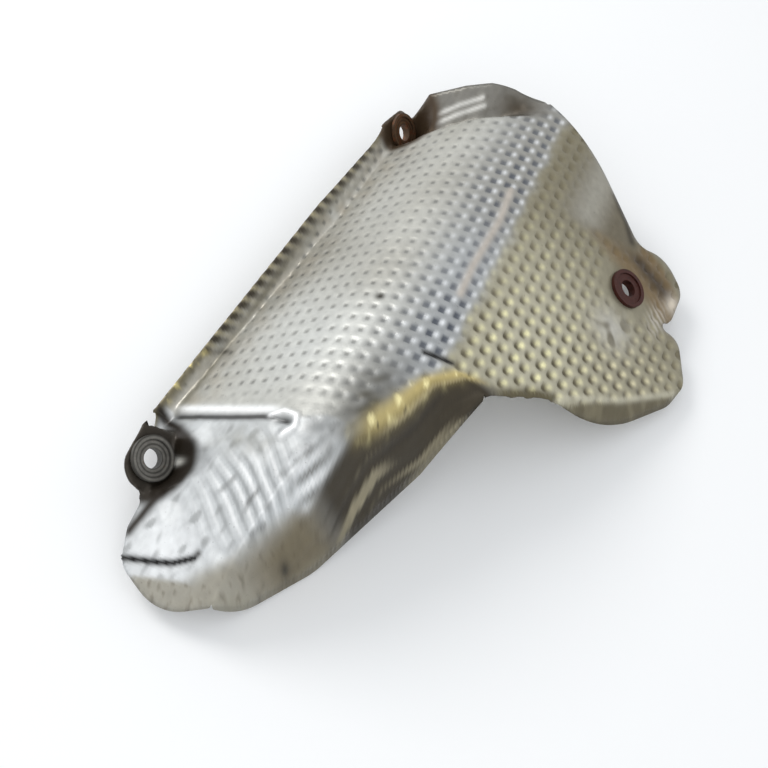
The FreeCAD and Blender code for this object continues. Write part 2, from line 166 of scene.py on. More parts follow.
# Camera of the photograph: its right, up and back directions, its place in metres and its lens in millimetres
CAMERA_AXES = ((0.4083, -0.9038, 0.1284), (0.7709, 0.4167, 0.4817), (-0.4889, -0.0977, 0.8669))
CAMERA_AT = (-0.19516, -0.01770, 0.33230)
CAMERA_LENS, CAMERA_SENSOR, CAMERA_NEAR = 46.875, 36.0, 0.01

# Studio, in metres
DAYLIGHT, DAYLIGHT_STRENGTH = (0.94, 0.97, 1.0, 1), 0.78
FLOOR_HALF, FLOOR_SHADE = 3, 0.95
LIGHTS_AIM = (0, 0, 0.02)


def srgb(*values):
    """Linear colour of a screen colour from 0 to 255."""
    return np.array([(v / 255 / 12.92) if v < 10.3 else ((v / 255 + 0.055) / 1.055) ** 2.4 for v in values])


def smooth(low, high, value):
    """0 below low, 1 above high and an S-curve between."""
    t = np.clip((value - low) / (high - low), 0.0, 1.0)
    return t * t * (3 - 2 * t)


def bell(offset, reach):
    """1 at no offset, falling softly to 0 at about twice the reach."""
    return np.exp(-(offset / reach) ** 2)


def wobble(x, y, scale, seed):
    """Soft random field between about -1 and 1, the same on each run."""
    field = np.zeros_like(x)
    random = np.random.default_rng(seed)
    for _ in range(9):
        angle, phase = random.uniform(0, 2 * math.pi, 2)
        length = scale * random.uniform(0.6, 1.7)
        field += np.sin((x * math.cos(angle) + y * math.sin(angle)) * 2 * math.pi / length + phase)
    return field / 4.5


def blurred(field, times):
    """Field of the grid with each point eased towards its neighbours."""
    for _ in range(times):
        for axis in (0, 1):
            before, after = np.roll(field, 1, axis), np.roll(field, -1, axis)
            field = 0.25 * before + 0.5 * field + 0.25 * after
    return field


def across_from_arc(arc):
    """Distance from the crest, in plan, of a place at some length along the section."""
    slope = np.where(arc > 0, PLATEAU_SLOPE, WALL_SLOPE)
    bend = RIDGE_RADIUS * slope
    on_bend = RIDGE_RADIUS * np.sin(np.minimum(np.abs(arc), bend) / RIDGE_RADIUS)
    return np.sign(arc) * (on_bend + np.maximum(np.abs(arc) - bend, 0) * np.cos(slope))


def cells(x, arc, grid):
    """Place in a dimple grid; the pits are at whole numbers."""
    along, skew, start, around, start_around = grid
    return along * x + skew * arc - start, around * arc - start_around


def square_pit(u, v, low, high):
    """1 in the middle of each cell of a dimple grid, 0 between the cells."""
    return smooth(low, high, np.cos(2 * math.pi * u)) * smooth(low, high, np.cos(2 * math.pi * v))


def in_each_cell(u, v, at, size):
    """A soft spot at the same place of every cell."""
    off_u, off_v = u - at[0], v - at[1]
    return np.exp(-((off_u - np.round(off_u)) / size[0]) ** 2 - ((off_v - np.round(off_v)) / size[1]) ** 2)


def middle_of(node):
    """Middle of a node's box, in metres."""
    low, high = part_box(node)
    return (Vector(low) + Vector(high)) / 2


class Sheet:
    """Grid over the plan of the sheet, with the share from 0 to 1 of each zone at its points."""

    def __init__(self):
        low, high = [np.array(corner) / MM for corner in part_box("shield_panel")]
        self.xs = np.arange(low[0] - GRID_STEP, high[0] + GRID_STEP, GRID_STEP)
        arcs = np.arange(ARC_FROM, ARC_TO, GRID_STEP)
        self.ys = CREST_Y + across_from_arc(arcs)
        keep = (self.ys > low[1] - 1) & (self.ys < high[1] + 1)
        self.ys = self.ys[keep]
        self.x, self.y = np.meshgrid(self.xs, self.ys, indexing="ij")
        self.arc = np.meshgrid(self.xs, arcs[keep], indexing="ij")[1]
        self.middles = {name: middle_of(name) / MM for name, *_ in BUSHES}
        self.grain = blurred(np.random.default_rng(4).normal(size=self.x.shape), 1) * 2
        self.set_zones()

    def set_zones(self):
        x, y = self.x, self.y
        # Front wall and skirt, below the fold and before the front edge of the nose
        self.fold = y - np.interp(x, FOLD_X, FOLD_Y)
        soft = 1.5 + 3.5 * (1 - smooth(-100, -70, x))
        side = (1 - smooth(-soft, soft, self.fold)) * (1 - smooth(-20, -14, x))
        front = 0.9 * (1 - smooth(-1.5, 0.5, x - np.interp(y, FRONT_Y, FRONT_X)))
        self.low_side = np.maximum(side, front)
        # Lip, as a distance past its fold, and the nose, before the lap
        self.lip = y - LIP_Y - LIP_SKEW * (x - LIP_X)
        self.nose = 1 - smooth(LAP_X - 1, LAP_X + 1, x - 4 * (1 - smooth(22, 35, y)))
        # Rear trough and flange, and the painted shadow at the step down to them
        behind = x - REAR_EDGE_X - (REAR_EDGE_LEFT - np.clip(y, 9, REAR_EDGE_LEFT)) * REAR_EDGE_SKEW
        self.rear = smooth(-1, 2, behind) * smooth(4, 14, y)
        self.step = bell(behind - 1.5, 2.2) * smooth(16, 24, y)
        # Wing, its plain shoulder at the rear and its bent-down lip
        rear_of_wing = smooth(-2, 8, x - 76 + 0.25 * (y + 38))
        self.shoulder = rear_of_wing * (1 - smooth(-24, -10, y)) * smooth(-52, -46, y)
        self.wing = (1 - smooth(-5, 1.5, y + 1.5 * self.wobble(12, 2))) * (1 - self.low_side)
        outside = (x - BEND_X) * BEND_NORMAL[0] + (y - BEND_Y) * BEND_NORMAL[1]
        self.wing_lip = (1 - smooth(-2.0, -0.6, outside)) * self.wing * smooth(-14, -2, x)

    def wobble(self, scale, seed):
        """Soft random field over the plan, between about -1 and 1."""
        return wobble(self.x, self.y, scale, seed)

    def distance(self, corners):
        """Distance in plan from a line through corners, in millimetres."""
        x, y = self.x, self.y
        nearest = np.full_like(x, np.inf)
        for (ax, ay), (bx, by) in zip(corners, corners[1:]):
            dx, dy = bx - ax, by - ay
            t = np.clip(((x - ax) * dx + (y - ay) * dy) / (dx * dx + dy * dy), 0, 1)
            nearest = np.minimum(nearest, np.hypot(x - ax - t * dx, y - ay - t * dy))
        return nearest

    def on_line(self, corners, width):
        """1 on a line, falling to 0 at about its width."""
        return bell(self.distance(corners), 0.55 * width)

    def on_spot(self, at, reach_x, reach_y):
        """1 at a place, falling softly to 0 around it."""
        return np.exp(-((self.x - at[0]) / reach_x) ** 2 - ((self.y - at[1]) / reach_y) ** 2)

    def ear(self, bush, reach):
        """1 around a bush, 0 past the reach."""
        middle = self.middles[bush]
        return 1 - smooth(reach - 2, reach + 2, np.hypot(self.x - middle.x, self.y - middle.y))


def cast_sheet(xs, ys):
    """Height of the solid's upper face over each grid place, in millimetres; NaN where there is none."""
    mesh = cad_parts["shield_panel"].data
    tree = BVHTree.FromPolygons([v.co for v in mesh.vertices], [p.vertices for p in mesh.polygons])
    down = Vector((0, 0, -1))
    heights = np.full((len(xs), len(ys)), np.nan)
    for i, x in enumerate(xs):
        for j, y in enumerate(ys):
            hit, normal, _, _ = tree.ray_cast(Vector((x * MM, y * MM, RAY_TOP * MM)), down)
            if hit is not None and normal.z > FACES_UP:
                heights[i, j] = hit.z / MM
    return heights


def filled(heights):
    """Heights with the empty places filled from their nearest neighbours, for smooth slopes at the rim."""
    z = heights.copy()
    for _ in range(FILL_STEPS):
        empty = np.isnan(z)
        padded = np.pad(z, 1, constant_values=np.nan)
        around = np.stack([padded[:-2, 1:-1], padded[2:, 1:-1], padded[1:-1, :-2], padded[1:-1, 2:]])
        known = ~np.isnan(around)
        count = known.sum(0)
        z = np.where(empty & (count > 0), np.where(known, around, 0).sum(0) / np.maximum(count, 1), z)
    return np.nan_to_num(z)


def eased_heights(s, heights):
    """Heights without the solid's facets, and with the end of the lap run out softly."""
    z = filled(heights)
    soft = blurred(z, FACET_BLUR)
    run_out = np.exp(-((s.x - LAP_X) / 9) ** 4) * (1 - smooth(30, 36, s.y)) * smooth(-2, 6, s.fold)
    return soft + run_out * (blurred(z, LAP_BLUR) - soft)


def grid_normals(x, y, z):
    """Upward unit normals of the grid."""
    points = np.stack([x, y, z], -1)
    normal = np.cross(np.gradient(points, axis=0), np.gradient(points, axis=1))
    return normal / np.linalg.norm(normal, axis=-1, keepdims=True)


def dimples(s):
    """Depth of the dimples, from 0 to 1, and how much of them each place keeps."""
    ridge = square_pit(*cells(s.x, s.arc, RIDGE_CELLS), -0.55, 0.6)
    wing = square_pit(*cells(s.x, s.arc, WING_CELLS), -0.5, 0.6)
    pits = ridge + s.wing * (wing - ridge)
    plain = np.maximum.reduce([
        s.nose, s.low_side, s.rear, s.shoulder, s.wing_lip, smooth(-1, 3, s.lip),
        1 - smooth(LAP_X + 3, LAP_X + 16, s.x),
        s.on_spot(CRINKLE, 9, 9), s.on_line(CREASE, 3.0), 0.6 * s.on_spot((-44, 11), 18, 8),
        s.ear("front_bush", 14), s.ear("rear_bush", 14), s.ear("side_bush", 13),
    ])
    return pits, (1 - plain) * (0.85 + 0.2 * s.wobble(60, 3))


def nose_ripple(s):
    """Bands across the nose, strongest in its middle, and a fine crinkle; both from about -1 to 1."""
    bands = np.sin(2 * math.pi * (0.188 * s.x - 0.150 * s.y) + 1.6 * s.wobble(26, 5))
    return bands * (0.25 + 0.75 * s.on_spot((-84, 38), 17, 16)), s.wobble(6, 12)


def side_streaks(s):
    """Long streaks that run down the low side, a little steeper than its fold."""
    return wobble(0.06 * s.x, s.fold - 0.078 * s.x, 3.4, 7)


def shaped(s, pits, kept):
    """Relief of the sheet, in millimetres out from its plain form."""
    relief = -DIMPLE_DEPTH * kept * pits * (1 - 0.55 * smooth(18, 34, s.y) + 0.5 * s.wing)
    bands, fine = nose_ripple(s)
    top = s.nose * (1 - s.low_side)
    relief += top * (0.14 * bands + 0.10 * fine + 0.3 * s.wobble(24, 6))
    relief += s.low_side * (0.25 * side_streaks(s) + 0.15 * s.wobble(14, 8))
    relief += s.rear * 0.12 * s.wobble(6, 9) + s.shoulder * 0.2 * s.wobble(18, 10)
    relief += s.on_spot(CRINKLE, 10, 10) * 0.7 * s.wobble(8, 13)
    relief += 0.5 * s.on_line(CREASE, 3.0) + 0.7 * s.on_line(CURL, 2.2)
    relief -= 1.6 * s.on_spot(CURL_PIT, 1.7, 3.2) + 0.8 * s.on_spot(NOSE_DENT, 2.2, 2.2)
    relief -= 0.6 * s.on_line(CRACK, 1.6) + 0.6 * s.on_line(TEAR, 1.4)
    relief += 0.4 * s.on_line(WING_BEND, 2.4) * s.wing
    for scratch in SCRATCHES:
        relief -= 0.08 * s.on_line(scratch, 1.2)
    return relief


class Coat:
    """Colours of the points of the sheet, put on in layers that each cover a share of what lies below."""

    def __init__(self, shape, colour):
        self.values = np.empty(shape + (3,))
        self.values[...] = srgb(*colour)

    def layer(self, colour, share):
        """Puts a screen colour over a share, from 0 to 1, of each point."""
        self.values += np.clip(share, 0, 1)[..., None] * (srgb(*colour) - self.values)


def colour_plateau(coat, s, pits, kept):
    """Plateau and ridge: clouded metal with painted shade in its pits and a painted sheen, and painted
    highlights between the pits on the ridge.
    """
    coat.layer(PLATEAU.cloud, 0.5 + 0.5 * s.wobble(45, 21))
    coat.layer(PLATEAU.dust, 0.7 * smooth(-22, -4, s.lip) * (0.5 + 0.5 * s.wobble(11, 22)))
    coat.layer(PLATEAU.sheen, s.on_spot((-30, 42), 34, 24) * 0.6)
    u, v = cells(s.x, s.arc, RIDGE_CELLS)
    ridge = bell(s.y - 6, 15.0) * (1 - s.wing)
    # Painted shade in the pits; on the ridge, darker painted shade in them and a painted highlight beside
    # each
    coat.layer(PLATEAU.pit_shade, 0.85 * square_pit(u, v, 0.05, 0.95) * kept)
    coat.layer(PLATEAU.ridge, 0.8 * ridge)
    coat.layer(PLATEAU.ridge_rear, 0.7 * ridge * smooth(20, 70, s.x))
    coat.layer(PLATEAU.ridge_pit_shade, 0.95 * ridge * kept * pits)
    coat.layer(PLATEAU.ridge_glint, 0.9 * ridge * kept * in_each_cell(u, v, (0.05, -0.40), (0.22, 0.16)))


def colour_wing(coat, s, pits, kept):
    """Wing: olive from the heat, with a painted reflection over its middle, painted shade, a painted shadow
    and a painted yellow glint in each dimple, a painted highlight along its bend, and a dark lip and rim.
    """
    u, v = cells(s.x, s.arc, WING_CELLS)
    reflection = np.sqrt(s.on_spot((6, -24), 34, 22)) * s.wing
    coat.layer(WING.olive, s.wing)
    coat.layer(WING.rear, s.wing * smooth(36, 72, s.x))
    # Painted reflection: lighter over the middle of the wing
    coat.layer(WING.reflection, 0.9 * reflection)
    # Painted shade in the pits of the wing
    coat.layer(WING.pit_shade, s.wing * 0.7 * kept * pits)
    # Dimples in the middle of the wing, each with a painted shadow and a painted glint of its own strength,
    # inside the painted reflection
    random_cell = 0.5 + 0.5 * np.sin(12.9898 * np.round(u) + 78.233 * np.round(v))
    glint = in_each_cell(u, v, (0.24, -0.26), (0.2, 0.2))
    coat.layer(WING.shadow, reflection * kept * in_each_cell(u, v, (-0.05, 0.02), (0.19, 0.27)))
    coat.layer(WING.glint, (0.55 + 0.45 * random_cell) * reflection * kept * glint)
    # Dimples near the lip of the wing, each with a painted shadow and a painted glint
    far = np.sqrt(s.on_spot((27, -62), 18, 15)) * s.wing * (1 - s.wing_lip)
    coat.layer(WING.far_shadow, far * kept * in_each_cell(u, v, (-0.1, 0.1), (0.22, 0.32)))
    coat.layer(WING.far_glint, 0.9 * far * kept * in_each_cell(u, v, (0.22, -0.24), (0.16, 0.2)))
    # Crinkle, lip, painted highlight along the bend, rim and shoulder
    coat.layer(WING.crinkle, 0.8 * s.on_spot(CRINKLE, 8, 8))
    coat.layer(WING.crinkle_dirt, s.on_spot(CRINKLE, 10, 10) * smooth(0.2, 0.8, s.wobble(7, 24)))
    coat.layer(WING.lip, s.wing_lip)
    coat.layer(WING.lip_worn, 0.6 * s.wing_lip * smooth(0.1, 0.7, s.wobble(9, 25)))
    # Painted highlight along the bend of the wing
    coat.layer(WING.bend, 0.7 * s.wing * s.on_line(WING_BEND, 1.6))
    coat.layer(WING.rim, 1.2 * s.wing * s.on_line(WING_RIM, 4.2))
    coat.layer(WING.shoulder, s.shoulder)
    coat.layer(WING.shoulder_top, s.shoulder * smooth(-36, -24, s.y))
    coat.layer(WING.rolled_edge, 0.9 * s.on_line(ROLLED_EDGE, 3.0))


def colour_side_ear(coat, s):
    """Ear of the wing: brown, with painted shade where its end turns down, a painted highlight on its curled
    corner and fine bright stripes.
    """
    x, y = s.x, s.y
    ear = s.ear("side_bush", 26) * smooth(64, 74, x - 0.3 * (y + 50)) * (1 - s.shoulder)
    coat.layer(SIDE_EAR.brown, ear)
    # Painted shade on the band where the ear turns down
    coat.layer(SIDE_EAR.turned_down_shade, ear * bell(x - 79 - 0.25 * (y + 58), 4.0))
    # Painted highlight on the curled corner
    coat.layer(SIDE_EAR.corner, s.on_spot((75, -70), 5, 3))
    fine_stripes = 0.5 + 0.5 * np.sin(2.2 * x - 1.4 * y)
    coat.layer(SIDE_EAR.fine_stripes, 0.7 * s.on_spot((62, -66), 8, 4) * fine_stripes)


def colour_nose(coat, s):
    """Top of the nose: bright and rippled, with painted shade and painted highlights along its ripples, a
    dull patch beside the lap and streaks at its right.
    """
    bands, fine = nose_ripple(s)
    top = s.nose * (1 - s.low_side)
    coat.layer(NOSE.metal, top)
    coat.layer(NOSE.front, top * s.on_spot((-108, 56), 12, 14))
    # Painted shade and painted highlights along the ripples
    coat.layer(NOSE.ripple_shade, top * 0.7 * smooth(0.3, 0.95, bands))
    coat.layer(NOSE.ripple_highlight, top * 0.75 * smooth(0.3, 0.95, -bands))
    coat.layer(NOSE.crinkle, top * 0.7 * smooth(0.3, 0.9, fine))
    coat.layer(NOSE.patches, top * 0.6 * smooth(0.5, 1.0, s.wobble(16, 26)))
    coat.layer(NOSE.dull, 0.75 * top * s.on_spot((-70, 47), 6, 13) * (0.7 + 0.4 * s.wobble(9, 33)))
    streaks = s.on_spot((-73, 21), 8, 6) * top
    ridges = np.sin(2 * math.pi * (0.106 * s.x + 0.246 * s.y) + 0.8 * s.wobble(12, 34))
    coat.layer(NOSE.light_streak, streaks * smooth(0.0, 0.8, ridges))
    coat.layer(NOSE.dark_streak, 0.85 * streaks * smooth(0.2, 0.9, -ridges))


def colour_low_side(coat, s):
    """Foot of the ridge, wall of the nose and skirt: dirty and streaked, with a painted golden highlight
    along the skirt's fold.
    """
    coat.layer(LOW_SIDE.lap_end, 0.8 * s.on_spot((-60.5, 28), 5, 5))
    coat.layer(LOW_SIDE.ridge_foot, np.sqrt(s.on_spot(RIDGE_FOOT, 13, 7)) * (0.9 + 0.25 * s.wobble(7, 23)))
    wall = s.low_side * (1 - smooth(-84, -70, s.x))
    coat.layer(LOW_SIDE.wall, wall)
    coat.layer(LOW_SIDE.wall_rear, wall * smooth(-112, -92, s.x))
    coat.layer(LOW_SIDE.wall_foot, wall * smooth(8, 16, -s.fold) * 0.8)
    coat.layer(LOW_SIDE.wall_dirt, wall * 0.5 * smooth(0.25, 0.7, 0.6 * s.wobble(4, 27) + 0.25 * s.grain))
    skirt = s.low_side - wall
    streak = side_streaks(s)
    coat.layer(LOW_SIDE.skirt, skirt)
    coat.layer(LOW_SIDE.light_streak, skirt * 0.9 * smooth(0.35, 0.9, streak))
    coat.layer(LOW_SIDE.dark_streak, skirt * 0.8 * smooth(0.3, 0.9, -streak))
    # Painted golden highlight and painted glints along the rounded fold of the skirt, with dark specks
    edge = bell(s.fold - 0.2, 2.6) * smooth(-62, -46, s.x) * (1 - smooth(-20, -15, s.x))
    coat.layer(LOW_SIDE.fold, 0.9 * edge)
    coat.layer(LOW_SIDE.fold_glint, edge * smooth(0.2, 0.8, 0.6 * s.wobble(5, 28) + 0.3 * s.grain))
    coat.layer(LOW_SIDE.fold_dirt, edge * smooth(0.75, 1.0, 0.5 * s.wobble(4, 29) + 0.5 * s.grain))


def colour_lip(coat, s):
    """Left-hand lip: olive, with painted shade along its fold, painted glints, and a row of dark teeth of
    painted shade, with painted glints between them, where the dimples run over its fold.
    """
    # Painted shade along the fold between the plateau and the lip
    coat.layer(LIP.fold, 0.8 * s.on_line(LIP_FOLD, 2.6))
    on_lip = smooth(-1, 2, s.lip)
    coat.layer(LIP.olive, on_lip)
    coat.layer(LIP.worn, on_lip * 0.7 * smooth(0.3, 0.9, s.wobble(9, 30)))
    glints = smooth(0.45, 0.9, s.wobble(4.5, 31)) * s.on_spot((-36, 84), 26, 9)
    coat.layer(LIP.glint, on_lip * glints)
    # Teeth of painted shade where the dimples run over the fold, and painted glints between them
    teeth = bell(s.lip - 1.5, 2.6) * smooth(-42, -30, s.x) * (1 - smooth(78, 88, s.x))
    tooth = 0.5 + 0.5 * np.cos(2 * math.pi * (RIDGE_CELLS[0] * s.x + 0.10 * s.lip))
    coat.layer(LIP.tooth, 0.95 * teeth * smooth(0.25, 0.75, tooth))
    coat.layer(LIP.gap, 0.5 * teeth * smooth(0.8, 1.0, 1 - tooth))


def colour_rear(coat, s):
    """Rear trough and flange: dull, with a painted shadow at the step, pale streaks of painted highlight and
    a dark end.
    """
    coat.layer(REAR.metal, s.rear)
    coat.layer(REAR.dirt, s.rear * 0.6 * smooth(0.1, 0.8, s.wobble(5, 32)))
    # Painted shadow at the step, and streaks of painted highlight
    coat.layer(REAR.step, 0.6 * s.step)
    for streak in REAR_HIGHLIGHT_STREAKS:
        coat.layer(REAR.streak, 0.75 * s.on_line(streak, 1.6))
    coat.layer(REAR.end, s.on_spot((115, 20), 6, 8))


def colour_left_ears(coat, s):
    """Ears beside the lip: dark around their bushes, with painted shade along the pocket wall and a painted
    glint.
    """
    coat.layer(LEFT_EARS.front, s.ear("front_bush", 15))
    coat.layer(LEFT_EARS.rear, s.ear("rear_bush", 14))
    coat.layer(LEFT_EARS.front_edge, s.ear("front_bush", 15) * smooth(2.0, 5.0, s.lip - 6))
    # Painted shade along the wall of the pocket
    coat.layer(LEFT_EARS.pocket_shade, s.on_line(POCKET, 3.8))
    coat.layer(LEFT_EARS.glint, 1.2 * s.on_spot(BUSH_GLINT, 1.2, 2.4))


def colour_marks(coat, s):
    """Single marks: the crease, a painted highlight on the lap's edge and its painted shadow, a painted
    highlight and shadow at the curl, specks, scratches and painted shade in the crack and tear.
    """
    coat.layer(MARKS.crease, 0.9 * s.on_line(CREASE, 2.6))
    # Painted highlight on the lap's edge, and its painted shadow
    lap_edge_highlight = bell(s.x - LAP_X - 1.6, 1.7) * smooth(38, 44, s.y) * (1 - smooth(76, 82, s.y))
    coat.layer(MARKS.lap_edge_highlight, lap_edge_highlight)
    lap_shadow = bell(s.x - LAP_X + 1.5, 1.2) * smooth(38, 42, s.y) * (1 - smooth(76, 80, s.y))
    coat.layer(MARKS.lap_shadow, lap_shadow)
    # Painted highlight along the curl and a painted shadow beside it
    coat.layer(MARKS.curl_highlight, s.on_line(CURL, 1.8))
    coat.layer(MARKS.curl_shadow, s.on_spot(CURL_SHADOW, 1.3, 3.0))
    coat.layer(MARKS.nose_speck, 0.9 * s.on_spot(NOSE_DENT, 1.2, 1.2) + 0.9 * s.on_spot(WALL_SPECK, 1.8, 1.6))
    for scratch in SCRATCHES:
        coat.layer(MARKS.scratch, 0.6 * s.on_line(scratch, 1.3))
    coat.layer(MARKS.plateau_speck, s.on_spot(PLATEAU_SPECK, 1.6, 1.6) + 0.8 * s.on_spot(LIP_SPECK, 1.5, 2.2))
    # Painted shade in the crack and the tear
    coat.layer(MARKS.slit_shade, 1.2 * s.on_line(CRACK, 2.0) + 1.2 * s.on_line(TEAR, 1.8))


def coloured(s, pits, kept):
    """Linear colour of each point of the sheet. Later zones cover earlier ones where they overlap."""
    coat = Coat(s.x.shape, PLATEAU.bare)
    colour_plateau(coat, s, pits, kept)
    colour_wing(coat, s, pits, kept)
    for colour_zone in (colour_side_ear, colour_nose, colour_low_side, colour_lip, colour_rear,
                        colour_left_ears, colour_marks):
        colour_zone(coat, s)
    return coat.values * (1 + 0.05 * s.grain)[..., None]


def quads_over(inside):
    """Numbers of the inside points that whole cells of the grid use, and those cells as quads of them."""
    index = np.full(inside.shape, -1)
    index[inside] = np.arange(inside.sum())
    corners = np.stack([index[:-1, :-1], index[1:, :-1], index[1:, 1:], index[:-1, 1:]], -1).reshape(-1, 4)
    quads = corners[(corners >= 0).all(1)]
    used = np.unique(quads)
    renumber = np.full(inside.sum(), -1)
    renumber[used] = np.arange(len(used))
    return used, renumber[quads]


def rim_points(mesh):
    """Points along the trimmed edges of the sheet and of its holes, and a search tree over them.

    The cut is upright and reaches further down on a steep wall, so they are taken from its lower edges.
    """
    places = {}
    for vertex in mesh.vertices:
        places.setdefault(tuple(round(c, 6) for c in vertex.co), []).append(vertex.index)
    alias = {index: group[0] for group in places.values() for index in group}
    joined = {}
    for face in mesh.polygons:
        for a, b in face.edge_keys:
            joined.setdefault(tuple(sorted((alias[a], alias[b]))), []).append(face.normal)
    points = []
    thickness = Vector((0, 0, SHEET_THICKNESS * MM))
    for (a, b), normals in joined.items():
        if len(normals) != 2 or min(n.z for n in normals) > FACES_DOWN:
            continue
        trimmed = min(abs(n.z) for n in normals) < UPRIGHT
        if trimmed or normals[0].dot(normals[1]) < SHARP_EDGE:
            start, end = mesh.vertices[a].co, mesh.vertices[b].co
            count = max(1, int((end - start).length / (RIM_STEP * MM)))
            points.extend(start.lerp(end, i / count) + thickness for i in range(count + 1))
    tree = KDTree(len(points))
    for index, point in enumerate(points):
        tree.insert((point.x, point.y, point.z * HEIGHT_SHARE), index)
    tree.balance()
    return points, tree


def snap_to_rim(vertices, quads):
    """Moves the points of the grid's stepped border to the trimmed edges of the solid."""
    edges = np.sort(np.stack([quads, np.roll(quads, -1, 1)], -1).reshape(-1, 2), 1)
    unique, counts = np.unique(edges, axis=0, return_counts=True)
    rim, tree = rim_points(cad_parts["shield_panel"].data)
    for number in np.unique(unique[counts == 1]):
        _, nearest, distance = tree.find(vertices[number] * (1, 1, HEIGHT_SHARE))
        if distance < RIM_REACH * MM:
            vertices[number] = rim[nearest]


def build_sheet():
    """The dressed sheet: a grid laid on the solid's upper face, with relief, colour and thickness."""
    s = Sheet()
    heights = cast_sheet(s.xs, s.ys)
    slits = np.minimum(s.distance(CRACK), s.distance(TEAR)) < SLIT_REACH
    inside = ~np.isnan(heights) | slits
    z = eased_heights(s, heights)
    pits, kept = dimples(s)
    points = np.stack([s.x, s.y, z], -1) + grid_normals(s.x, s.y, z) * shaped(s, pits, kept)[..., None]
    used, quads = quads_over(inside)
    vertices = points[inside][used] * MM
    colours = coloured(s, pits, kept)[inside][used]
    snap_to_rim(vertices, quads)

    mesh = bpy.data.meshes.new("dimpled_sheet")
    mesh.from_pydata(vertices.tolist(), [], quads.tolist())
    coat = mesh.attributes.new("coat", "FLOAT_COLOR", "POINT")
    rgba = np.concatenate([np.clip(colours, 0, 1), np.ones((len(colours), 1))], 1)
    coat.data.foreach_set("color", np.ascontiguousarray(rgba, dtype=np.float32).ravel())
    for polygon in mesh.polygons:
        polygon.use_smooth = True
    piece = bpy.data.objects.new("dimpled_sheet", mesh)
    bpy.context.scene.collection.objects.link(piece)
    solid = piece.modifiers.new("thickness", "SOLIDIFY")
    solid.thickness = SHEET_THICKNESS * MM
    solid.offset = -1
    return piece


class Nodes:
    """Short way to write a node material."""

    def __init__(self, name):
        self.material = bpy.data.materials.new(name)
        self.material.use_nodes = True
        self.tree = self.material.node_tree
        self.shader = self.tree.nodes["Principled BSDF"]

    def add(self, kind, **values):
        node = self.tree.nodes.new(kind)
        for key, value in values.items():
            setattr(node, key, value)
        return node

    def link(self, source, target):
        self.tree.links.new(source, target)

    def mix(self, factor, first, second):
        """Mixed colour; each colour is a socket or a linear value."""
        node = self.add("ShaderNodeMix", data_type="RGBA")
        for socket, value in ((node.inputs[0], factor), (node.inputs[6], first), (node.inputs[7], second)):
            if isinstance(value, bpy.types.NodeSocket):
                self.link(value, socket)
            else:
                socket.default_value = (*value, 1)
        return node.outputs[2]

    def ramp(self, value, low, high, start=0.0, end=1.0):
        """Value taken from low and high to start and end."""
        node = self.add("ShaderNodeMapRange", clamp=True)
        self.link(value, node.inputs[0])
        for socket, number in zip(node.inputs[1:5], (low, high, start, end)):
            socket.default_value = number
        return node.outputs[0]

    def noise(self, scale, detail):
        """Cloudy field from about 0 to 1, fixed to the object."""
        place = self.add("ShaderNodeTexCoord")
        node = self.add("ShaderNodeTexNoise")
        node.inputs["Scale"].default_value = scale
        node.inputs["Detail"].default_value = detail
        node.inputs["Roughness"].default_value = 0.6
        self.link(place.outputs["Object"], node.inputs["Vector"])
        return node.outputs["Fac"]

    def bump(self, height, strength, distance):
        node = self.add("ShaderNodeBump")
        node.inputs["Strength"].default_value = strength
        node.inputs["Distance"].default_value = distance
        self.link(height, node.inputs["Height"])
        self.link(node.outputs[0], self.shader.inputs["Normal"])


def sheet_material():
    """Aluminium gone dull and olive with heat. The sheet holds its colour; its grain and specks are here."""
    nodes = Nodes("stained_aluminium")
    coat = nodes.add("ShaderNodeAttribute", attribute_name="coat").outputs["Color"]
    fine, patch = nodes.noise(1100.0, 5.0), nodes.noise(130.0, 5.0)
    specks = nodes.ramp(fine, 0.63, 0.76, 0.0, 0.45)
    nodes.link(nodes.mix(specks, coat, (0.05, 0.045, 0.035)), nodes.shader.inputs["Base Color"])
    nodes.link(nodes.ramp(patch, 0.3, 0.75, 0.30, 0.50), nodes.shader.inputs["Roughness"])
    nodes.shader.inputs["Metallic"].default_value = 0.45
    nodes.bump(fine, 0.2, 0.0003)
    return nodes.material


def turned_rings(nodes, node, axis):
    """Fine rings about a bush's bolt axis, from 0 to 0.75."""
    offset = nodes.add("ShaderNodeVectorMath", operation="SUBTRACT")
    nodes.link(nodes.add("ShaderNodeTexCoord").outputs["Object"], offset.inputs[0])
    offset.inputs[1].default_value = middle_of(node)
    across = nodes.add("ShaderNodeVectorMath", operation="CROSS_PRODUCT")
    nodes.link(offset.outputs[0], across.inputs[0])
    across.inputs[1].default_value = axis
    radius = nodes.add("ShaderNodeVectorMath", operation="LENGTH")
    nodes.link(across.outputs[0], radius.inputs[0])
    turns = nodes.add("ShaderNodeMath", operation="MULTIPLY")
    nodes.link(radius.outputs["Value"], turns.inputs[0])
    turns.inputs[1].default_value = 2 * math.pi / (RING_PITCH * MM)
    wave = nodes.add("ShaderNodeMath", operation="SINE")
    nodes.link(turns.outputs[0], wave.inputs[0])
    return nodes.ramp(wave.outputs[0], -0.6, 1.0, 0.0, 0.75)


